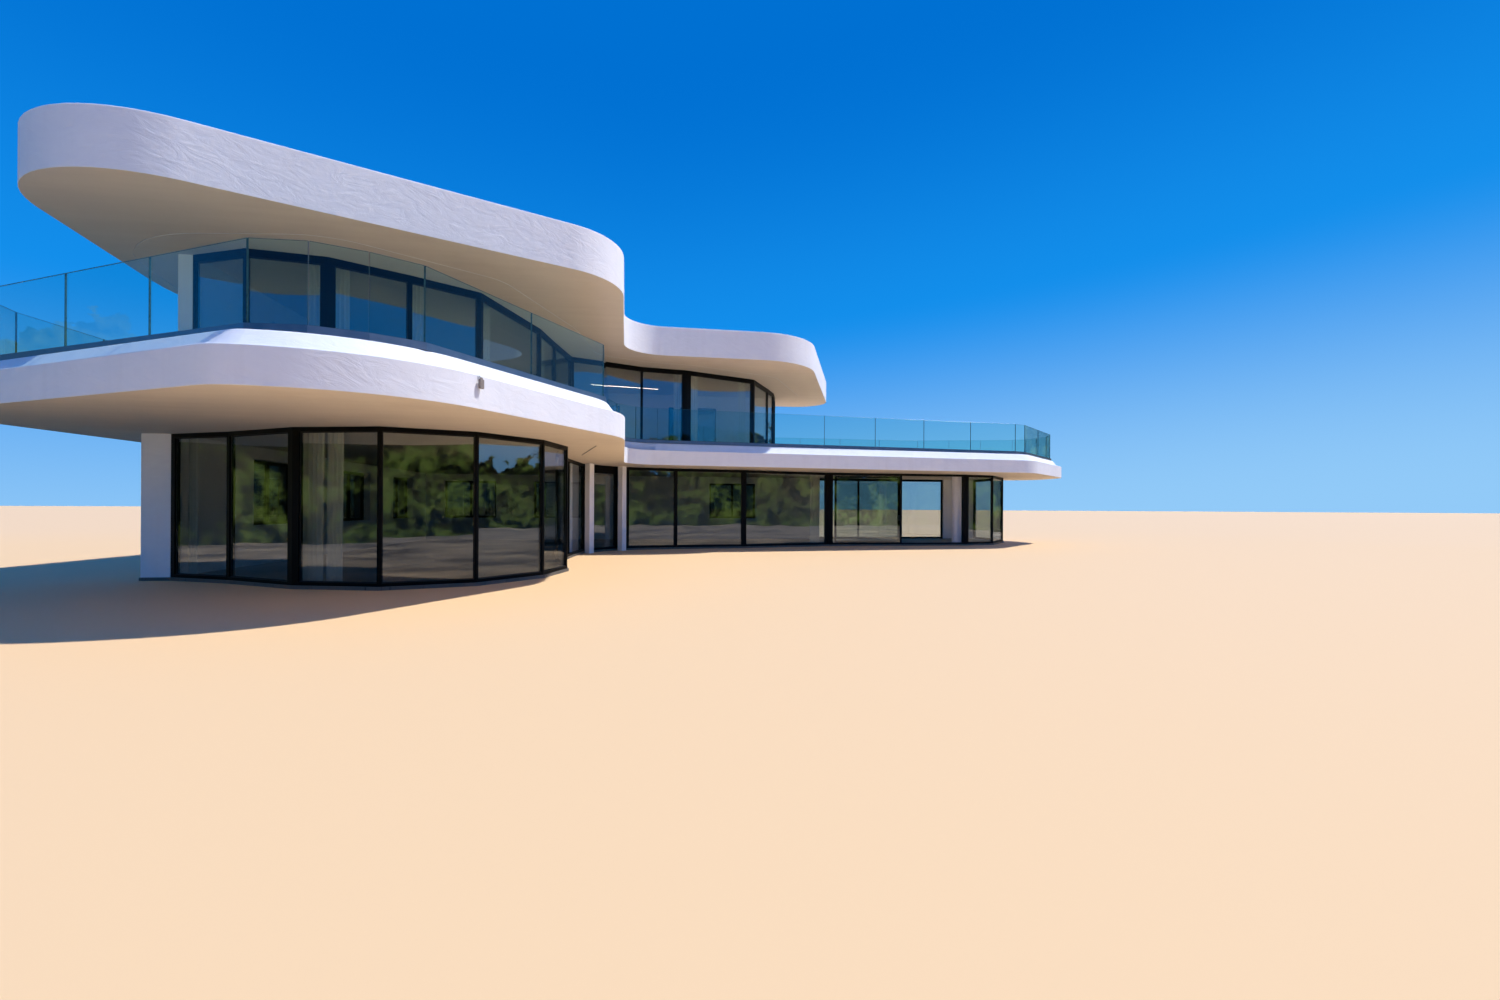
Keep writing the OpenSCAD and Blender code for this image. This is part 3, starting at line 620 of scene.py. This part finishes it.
# For each curtain: two points of the glazing in front of it, and where it starts and ends between them.
ground_curtains = [
    ((-12.215, -5.125), (-10.875, -5.775), 0.02, 0.29), ((-9.345, -6.775), (-7.845, -7.175), -0.09, 0.33),
    ((-9.345, -6.775), (-7.845, -7.175), 0.39, 0.69), ((-5.575, -0.175), (-5.36, 1.9), 0.76, 1.60),
    ((-0.025, 4.025), (3.325, 5.025), 2.87, 3.27)]
upper_curtains = [
    ((-10.685, -5.675), (-9.405, -5.475), 0.88, 1.15), ((-9.405, -5.475), (-8.225, -4.675), 0.17, 0.42),
    ((-8.225, -4.675), (-7.075, -3.775), 0.15, 0.40), ((-7.075, -3.775), (-6.245, -0.925), 0.30, 0.90),
    ((-6.245, -0.925), (-6.055, 0.525), 0.70, 1.35), ((-3.585, 3.425), (-2.075, 3.725), 1.16, 1.40),
    ((-2.075, 3.725), (0.425, 4.925), 0.33, 0.60), ((-2.075, 3.725), (0.425, 4.925), 2.33, 2.60)]


def glazing_line(start, end):
    """The start of a line of glazing, its direction and the direction into the room."""
    along = (Vector(end) - Vector(start)).normalized()
    return Vector(start), along, Vector((-along.y, along.x))


def hang(name, line, low, high, chance):
    """One curtain: a flat grid of cloth laid into pinched folds that loosen towards the hem."""
    start, along, inward = glazing_line(*line[:2])
    near, far = line[2:]
    folds = round((far - near) / fold_width)
    columns = folds * fold_columns
    bpy.ops.object.select_all(action="DESELECT")
    bpy.ops.mesh.primitive_grid_add(x_subdivisions=columns, y_subdivisions=drop_rows, size=1)
    made = bpy.context.object
    made.name = name
    lean = [chance.uniform(-1, 1) for _ in range(folds + 2)]
    full = [chance.uniform(0.72, 1.0) for _ in range(folds + 2)]
    drop = high - low

    def lie(u, w):
        """Where the cloth lies, u along the rail and w up from the hem, both from 0 to 1."""
        fold = u * folds
        k = int(fold)
        part = fold - k
        fullness = full[k] * (1 - part) + full[k + 1] * part
        # The hem strays most. The heading tape pinches the folds over the top ninth of the drop.
        swing = (lean[k] * (1 - part) + lean[k + 1] * part) * (1 - w) ** 1.5
        pinch = heading_pinch + (1 - heading_pinch) * min(1.0, (1 - w) * 9)
        # A second, shallow wave gives each fold a steep and a slack side.
        wave = math.sin(2 * math.pi * fold + 0.9 * swing) + second_wave * math.sin(4 * math.pi * fold + 1.2)
        side = near + (far - near) * u + stray_along * swing * math.sin(math.pi * u)
        depth = curtain_set + fold_depth * fullness * pinch * wave + stray_inward * swing
        spot = start + along * side + inward * depth
        return Vector((spot.x, spot.y, low + drop * w))

    for vertex in made.data.vertices:
        vertex.co = lie(min(max(vertex.co.x + 0.5, 0), 1), vertex.co.y + 0.5)
    across = [lie(i / columns, 0.5) for i in range(columns + 1)]
    width = sum((b - a).length for a, b in zip(across, across[1:]))
    for corner in made.data.uv_layers[0].data:
        corner.uv = (corner.uv[0] * width, corner.uv[1] * drop)
    thick = made.modifiers.new("thick", "SOLIDIFY")
    thick.thickness = cloth_thickness
    thick.offset = 0
    bpy.ops.object.modifier_apply(modifier="thick")
    bpy.ops.object.shade_smooth()
    made.data.materials.append(linen)
    return made, width, drop


def rail(line, ceiling):
    """The slim rail over one curtain."""
    start, along, inward = glazing_line(*line[:2])
    near, far = line[2:]
    middle = start + along * (near + far) / 2 + inward * curtain_set
    made = block("rail", (far - near + rail_spare, rail_width, rail_depth), (0, 0, 0), 0.002)
    return set_in_place(made, (middle.x, middle.y, ceiling - rail_depth / 2), math.atan2(along.y, along.x))


chance = random.Random(7)
for storey, lines, floor_z, ceiling in (("ground", ground_curtains, ground_floor, ground_ceiling),
                                        ("upper", upper_curtains, upper_floor, upper_ceiling)):
    rods = joined("curtain_rails_" + storey, [rail(line, ceiling) for line in lines])
    rods.data.materials.append(anodised)
    smooth(rods)
    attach(rods, "house")
    for number, line in enumerate(lines, 1):
        cloth, width, drop = hang("curtain_%s_%d" % (storey, number), line, floor_z + hem_clear,
                                  ceiling - heading_drop, chance)
        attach(cloth, "house")
        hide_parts("curtains_" + storey)


# Terrace deck and kerb.
# Cast concrete slab carried past the glazing all round, rendered below and on its edge,
# with an upstand kerb cast on it that leans well back, and sandstone laid inside the kerb.
terrace_top, kerb_top = upper_floor, 3.445
kerb_round = 0.022
drip_round = 0.007
same_level = 0.01


def flat_up(z):
    """Test for faces that look up at height z."""
    return lambda f: f.normal.z > 0.99 and abs(f.center.z - z) < same_level


def plan(corner):
    """A corner's place in plan, to the millimetre."""
    return round(corner.x, 3), round(corner.y, 3)


# Mineral paint on the undersides, painted darker and warmer than the white render as painted shade and
# painted warm light bounced up from the floor, with the roller's broad lanes and a few darker damp patches.
# Its 2 mm stipple is drawn at 11 mm.
underside_shade_paint = material("off_white_paint_with_painted_shade")
place = put(underside_shade_paint, "TexCoord").outputs["Object"]
lanes = put(underside_shade_paint, "Mapping", {
    "Vector": place, "Rotation": (0.0, 0.0, 0.35), "Scale": (0.5, 4.0, 1.0)})
rolled = put(underside_shade_paint, "TexNoise", {"Vector": lanes, "Scale": 1.0, "Detail": 4.0})
damp = put(underside_shade_paint, "TexNoise", {"Vector": place, "Scale": 0.6, "Detail": 5.0, "Roughness": 0.6})
stained = put(underside_shade_paint, "MapRange", {"Value": damp, "From Min": 0.55, "From Max": 0.75, "To Max": 0.35})
# Both lane colours are darker and warmer than the render: painted shade and painted bounced light.
roller_lanes_painted_shade = put(underside_shade_paint, "Mix", {0: rolled, 6: linear("D6CBC0"), 7: linear("E3D9CE")}, data_type="RGBA")
soffit_painted_shade_tone = put(underside_shade_paint, "Mix", {0: stained, 6: roller_lanes_painted_shade.outputs[2], 7: linear("C4B5A6")},
                  data_type="RGBA")
chalked = put(underside_shade_paint, "MapRange", {"Value": rolled, "To Min": 0.75, "To Max": 0.95})
nap = put(underside_shade_paint, "TexNoise", {"Vector": place, "Scale": 90.0, "Detail": 2.0})
stippled = put(underside_shade_paint, "Bump", {"Height": nap, "Strength": 0.2, "Distance": 0.001})
soffit_shader = put(underside_shade_paint, "BsdfPrincipled", {
    "Base Color": soffit_painted_shade_tone.outputs[2], "Roughness": chalked, "Normal": stippled, "IOR": 1.45})
put(underside_shade_paint, "OutputMaterial", {"Surface": soffit_shader})

# Sandstone, sawn: warm slabs 600 by 400 mm in half bond, each a little different, with faint bedding
# lines. The 5 mm joint is drawn 9 mm wide.
sandstone = material("sawn_sandstone_paving")
place = put(sandstone, "TexCoord").outputs["Object"]
slabs = put(sandstone, "TexBrick", {
    "Vector": place, "Color1": linear("CDB392"), "Color2": linear("B99C7A"),
    "Mortar": linear("8C7760"), "Scale": 1.0, "Mortar Size": 0.0045, "Mortar Smooth": 0.2,
    "Brick Width": 0.6, "Row Height": 0.4}, offset=0.5)
layers = put(sandstone, "Mapping", {"Vector": place, "Rotation": (0.0, 0.0, 0.2), "Scale": (1.5, 14.0, 1.0)})
bedding = put(sandstone, "TexNoise", {"Vector": layers, "Scale": 1.0, "Detail": 6.0, "Distortion": 0.8})
bedded = put(sandstone, "MapRange", {"Value": bedding, "To Min": 0.84, "To Max": 1.1})
stone_tone = put(sandstone, "VectorMath", {0: slabs.outputs["Color"], "Scale": bedded}, operation="SCALE")
sawn = put(sandstone, "MapRange", {"Value": bedding, "To Min": 0.65, "To Max": 0.85})
sunk = put(sandstone, "Bump", {"Height": slabs.outputs["Fac"], "Strength": 0.6, "Distance": 0.003},
           invert=True)
stone_shader = put(sandstone, "BsdfPrincipled", {
    "Base Color": stone_tone, "Roughness": sawn, "Normal": sunk, "IOR": 1.5})
put(sandstone, "OutputMaterial", {"Surface": stone_shader})


def finish_picked(piece, slot):
    """Gives the picked faces the material in one of the piece's slots, and leaves edit mode."""
    piece.active_material_index = slot
    bpy.ops.object.material_slot_assign()
    bpy.ops.object.mode_set(mode="OBJECT")


def largest_up(piece, z):
    """The number of the largest face that looks up at height z."""
    return max((f for f in piece.data.polygons if flat_up(z)(f)), key=lambda f: f.area).index


deck = merged_copy("terrace_deck", "terrace_slab")
kerb = merged_copy("kerb", "terrace_kerb")
for finish in (render, sandstone, underside_shade_paint):
    deck.data.materials.append(finish)
bpy.context.view_layer.objects.active = deck
cast_on = deck.modifiers.new("cast_on", "BOOLEAN")
cast_on.operation = "UNION"
cast_on.solver = "EXACT"
cast_on.object = kerb
bpy.ops.object.modifier_apply(modifier="cast_on")
bpy.data.objects.remove(kerb)
paved = largest_up(deck, terrace_top)
pick(deck, "polygons", lambda f: f.index == paved)
finish_picked(deck, 1)
rim = {plan(v.co) for v in deck.data.vertices if v.co.z < ground_ceiling + same_level}
pick_arris(deck, lambda a, b: abs(a.z - b.z) < same_level and (
    a.z > kerb_top - same_level or (a.z > terrace_top - same_level and plan(a) in rim and plan(b) in rim)))
bpy.ops.mesh.bevel(offset=kerb_round, segments=3, affect="EDGES")
pick_arris(deck, lambda a, b: max(a.z, b.z) < ground_ceiling + same_level)
bpy.ops.mesh.bevel(offset=drip_round, segments=2, affect="EDGES")
# The undersides take the darker, warmer paint: painted shade.
pick(deck, "polygons", lambda f: f.normal.z < -0.99)
finish_picked(deck, 2)
smooth(deck)
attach(deck, "house")
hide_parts("terrace_slab", "terrace_kerb")

# A slim anodised cable cover is glued to the underside of the deck near the inner corner.
cover_from, cover_to = Vector((-5.061, -1.670)), Vector((-4.519, -4.364))
cover_thickness = 0.009
cover_way = cover_to - cover_from
cover = block("soffit_cable_cover", (cover_way.length, 0.018, cover_thickness), (0, 0, 0), 0.003)
set_in_place(cover, (*((cover_from + cover_to) / 2), ground_ceiling - cover_thickness / 2),
             math.atan2(cover_way.y, cover_way.x))
cover.data.materials.append(anodised)
smooth(cover)
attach(cover, "house")


# Balustrade.
# Toughened laminated sheets held only at the foot, wedged between rubber strips in an
# extruded aluminium channel that is bolted down along the kerb.
dress(anodised, "balustrade_channel")

# Clear laminated glass: a faint blue green cast and a veil of sky on it.
clear = material("toughened_laminated_clear_glass")
place = put(clear, "TexCoord").outputs["Object"]
film = put(clear, "TexNoise", {"Vector": place, "Scale": 1.3, "Detail": 4.0})
bow = put(clear, "Bump", {"Height": film, "Strength": 0.06, "Distance": 0.02})
slant = put(clear, "LayerWeight", {"Blend": 0.5, "Normal": bow})
steep = put(clear, "Math", {0: slant.outputs["Facing"], 1: 5.0}, operation="POWER")
veil = put(clear, "MapRange", {"Value": steep, "To Min": 0.018, "To Max": 1.0})
hazed = put(clear, "MapRange", {
    "Value": film, "From Min": 0.5, "From Max": 0.8, "To Min": 0.005, "To Max": 0.04})
through = put(clear, "BsdfTransparent", {"Color": linear("E9F8F6")})
shine = put(clear, "BsdfGlossy", {"Color": linear("E9F4FF"), "Roughness": hazed, "Normal": bow})
sheet_shader = put(clear, "MixShader", {0: veil, 1: through, 2: shine})
put(clear, "OutputMaterial", {"Surface": sheet_shader})

# Ground and polished glass edge: the light that travels inside the sheet leaves here, dull blue green.
edge = material("ground_glass_edge")
place = put(edge, "TexCoord").outputs["Object"]
scuff = put(edge, "TexNoise", {"Vector": place, "Scale": 30.0, "Detail": 3.0})
green = put(edge, "Mix", {0: scuff, 6: linear("1B424A"), 7: linear("44727A")}, data_type="RGBA")
dulled = put(edge, "MapRange", {"Value": scuff, "To Min": 0.2, "To Max": 0.4})
edge_shader = put(edge, "BsdfPrincipled", {"Base Color": green.outputs[2], "Roughness": dulled, "IOR": 1.52})
put(edge, "OutputMaterial", {"Surface": edge_shader})

edge_ease = 0.0015
widest_edge = 0.1
channel_top = 3.545
wedge_below, wedge_above, wedge_out = 0.006, 0.007, 0.0054
for name in ("side_balustrade_glass", "lobe_balustrade_glass", "wing_balustrade_glass",
             "rear_balustrade_glass"):
    sheets = merged_copy(name.replace("_glass", "_sheets"), name)
    sheets.data.materials.append(clear)
    sheets.data.materials.append(edge)
    bpy.ops.object.mode_set(mode="EDIT")
    bpy.ops.mesh.select_all(action="SELECT")
    bpy.ops.mesh.bevel(offset=edge_ease, segments=1, affect="EDGES")
    pick(sheets, "polygons", lambda f: f.area < widest_edge)
    finish_picked(sheets, 1)
    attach(sheets, "house")
    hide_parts(name)

    wedge = merged_copy(name.replace("_glass", "_wedges"), name)
    bpy.ops.object.mode_set(mode="EDIT")
    bpy.ops.mesh.select_all(action="SELECT")
    bpy.ops.mesh.bisect(plane_co=(0, 0, channel_top - wedge_below), plane_no=(0, 0, 1), clear_inner=True,
                        use_fill=True)
    bpy.ops.mesh.select_all(action="SELECT")
    bpy.ops.mesh.bisect(plane_co=(0, 0, channel_top + wedge_above), plane_no=(0, 0, 1), clear_outer=True,
                        use_fill=True)
    bpy.ops.mesh.select_all(action="SELECT")
    bpy.ops.transform.shrink_fatten(value=wedge_out)
    bpy.ops.object.mode_set(mode="OBJECT")
    wedge.data.materials.append(rubber)
    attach(wedge, "house")


# Lamp on the deck's edge.
# Small die cast wall lamp on a bracket: a back plate screwed to the render, a short arm and
# a hooded body with a milky window underneath.

# Cast aluminium, sprayed grey brown: slightly pitted and chalky from the sun. The 0.5 mm pits are
# drawn at 5 mm.
sprayed = material("die_cast_aluminium_sprayed_grey")
place = put(sprayed, "TexCoord").outputs["Object"]
pits = put(sprayed, "TexNoise", {"Vector": place, "Scale": 220.0, "Detail": 2.0})
faded = put(sprayed, "TexNoise", {"Vector": place, "Scale": 25.0, "Detail": 3.0})
taupe = put(sprayed, "Mix", {0: faded, 6: linear("776A60"), 7: linear("A2968C")}, data_type="RGBA")
chalk = put(sprayed, "MapRange", {"Value": faded, "To Min": 0.45, "To Max": 0.7})
pitted = put(sprayed, "Bump", {"Height": pits, "Strength": 0.3, "Distance": 0.0005})
sprayed_shader = put(sprayed, "BsdfPrincipled", {
    "Base Color": taupe.outputs[2], "Roughness": chalk, "Normal": pitted, "IOR": 1.5})
put(sprayed, "OutputMaterial", {"Surface": sprayed_shader})

# Opal acrylic: milky, faintly uneven, unlit by day.
opal = material("opal_acrylic_diffuser")
place = put(opal, "TexCoord").outputs["Object"]
milk = put(opal, "TexNoise", {"Vector": place, "Scale": 12.0, "Detail": 2.0})
milky = put(opal, "Mix", {0: milk, 6: linear("F4EBDD"), 7: linear("FFF8EC")}, data_type="RGBA")
even = put(opal, "MapRange", {"Value": milk, "To Min": 0.3, "To Max": 0.4})
opal_shader = put(opal, "BsdfPrincipled", {"Base Color": milky.outputs[2], "Roughness": even, "IOR": 1.49})
put(opal, "OutputMaterial", {"Surface": opal_shader})

hood_height = 0.026
window_recess = 0.008
plate = block("plate", (0.055, 0.006, 0.075), (0, -0.003, 0.15), 0.0015)
arm = block("arm", (0.018, 0.022, 0.018), (0, -0.016, 0.165), 0.004)
body = block("body", (0.074, 0.036, 0.125), (0, -0.039, 0.065), 0.005)
pick(body, "polygons", lambda f: f.normal.z > 0.9 and f.area > broad_face)
bpy.ops.mesh.inset(thickness=0.006)
bpy.ops.mesh.extrude_region_move(TRANSFORM_OT_translate={"value": (0, 0, hood_height)})
bpy.ops.transform.resize(value=(0.6, 0.7, 1.0))
pick(body, "polygons", lambda f: f.normal.z < -0.9 and f.area > broad_face)
bpy.ops.mesh.inset(thickness=0.005)
bpy.ops.mesh.extrude_region_move(TRANSFORM_OT_translate={"value": (0, 0, window_recess)})
bpy.ops.object.mode_set(mode="OBJECT")
body.data.materials.append(sprayed)
body.data.materials.append(opal)
pick(body, "polygons", lambda f: f.normal.z < -0.9 and f.center.z > window_recess / 2)
finish_picked(body, 1)
lamp = joined("deck_edge_lamp", [body, plate, arm])
set_in_place(lamp, (-5.7058, -9.6370, 3.010), math.radians(61.8))
smooth(lamp)
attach(lamp, "house")
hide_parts("fascia_light")


# Line light in the upper room.
# Extruded aluminium profile screwed flat to the ceiling, with an opal strip snapped
# into it.

# The strip is the lamp's opal acrylic, lit evenly from behind in a warm white.
opal_lit = opal.copy()
opal_lit.name = "opal_acrylic_lit"
opal_lit.node_tree.nodes["Principled BSDF"].inputs["Emission Color"].default_value = linear("FFDCC8")
opal_lit.node_tree.nodes["Principled BSDF"].inputs["Emission Strength"].default_value = 14.0

light_from, light_to = Vector((-5.5, 6.736)), Vector((-2.96, 7.287))
profile_width, profile_height = 0.06, 0.045
strip_lip, strip_recess = 0.004, 0.002
light_way = light_to - light_from
profile = block("ceiling_line_light", (light_way.length, profile_width, profile_height), (0, 0, 0), 0.002)
profile.data.materials.append(anodised)
profile.data.materials.append(opal_lit)
pick(profile, "polygons", lambda f: f.normal.z < -0.9 and f.area > 10 * broad_face)
bpy.ops.mesh.inset(thickness=strip_lip)
bpy.ops.transform.translate(value=(0, 0, strip_recess))
finish_picked(profile, 1)
set_in_place(profile, (*((light_from + light_to) / 2), upper_ceiling - profile_height / 2),
             math.atan2(light_way.y, light_way.x))
smooth(profile)
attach(profile, "house")
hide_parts("line_light")


# Roof.
# Cast roof slab with its parapet cast on, rendered as one smooth white edge, and mineral
# felt laid inside the parapet. A fine shadow groove runs in the soffit a metre outside the glass.
slab_top, parapet_width, parapet_height = 6.45, 0.22, 0.54
parapet_round = 0.018

# Mineral surfaced bitumen felt: pale grey grit, laid in strips a metre wide with darker laps.
# The 1 mm grit is drawn at 8 mm.
felt = material("mineral_bitumen_felt")
place = put(felt, "TexCoord").outputs["Object"]
strips = put(felt, "TexBrick", {
    "Vector": place, "Color1": linear("8D9092"), "Color2": linear("9B9D9E"),
    "Mortar": linear("5E6163"), "Scale": 1.0, "Mortar Size": 0.02, "Mortar Smooth": 0.6,
    "Brick Width": 7.5, "Row Height": 1.0})
grit = put(felt, "TexNoise", {"Vector": place, "Scale": 120.0, "Detail": 2.0})
gritty = put(felt, "MapRange", {"Value": grit, "To Min": 0.8, "To Max": 1.15})
felted = put(felt, "VectorMath", {0: strips.outputs["Color"], "Scale": gritty}, operation="SCALE")
lapped = put(felt, "Bump", {"Height": grit, "Strength": 0.4, "Distance": 0.002})
rough = put(felt, "MapRange", {"Value": grit, "To Min": 0.85, "To Max": 0.97})
felt_shader = put(felt, "BsdfPrincipled", {
    "Base Color": felted, "Roughness": rough, "Normal": lapped, "IOR": 1.5})
put(felt, "OutputMaterial", {"Surface": felt_shader})

roof = merged_copy("roof_and_parapet", "roof_slab")
for finish in (render, felt, underside_shade_paint):
    roof.data.materials.append(finish)
pick(roof, "polygons", flat_up(slab_top))
bpy.ops.mesh.inset(thickness=parapet_width)
finish_picked(roof, 1)
felted_face = largest_up(roof, slab_top)
pick(roof, "polygons", lambda f: flat_up(slab_top)(f) and f.index != felted_face)
bpy.ops.mesh.extrude_region_move(TRANSFORM_OT_translate={"value": (0, 0, parapet_height)})
pick_arris(roof, lambda a, b: min(a.z, b.z) > slab_top + parapet_height - same_level)
bpy.ops.mesh.bevel(offset=parapet_round, segments=3, affect="EDGES")
rim = {plan(v.co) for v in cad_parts["roof_parapet"].data.vertices}
pick_arris(roof, lambda a, b: (
    max(a.z, b.z) < upper_ceiling + same_level and plan(a) in rim and plan(b) in rim))
bpy.ops.mesh.bevel(offset=drip_round, segments=2, affect="EDGES")
# The undersides take the darker, warmer paint: painted shade.
pick(roof, "polygons", lambda f: f.normal.z < -0.99)
finish_picked(roof, 2)
smooth(roof)
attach(roof, "house")
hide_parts("roof_slab", "roof_parapet")
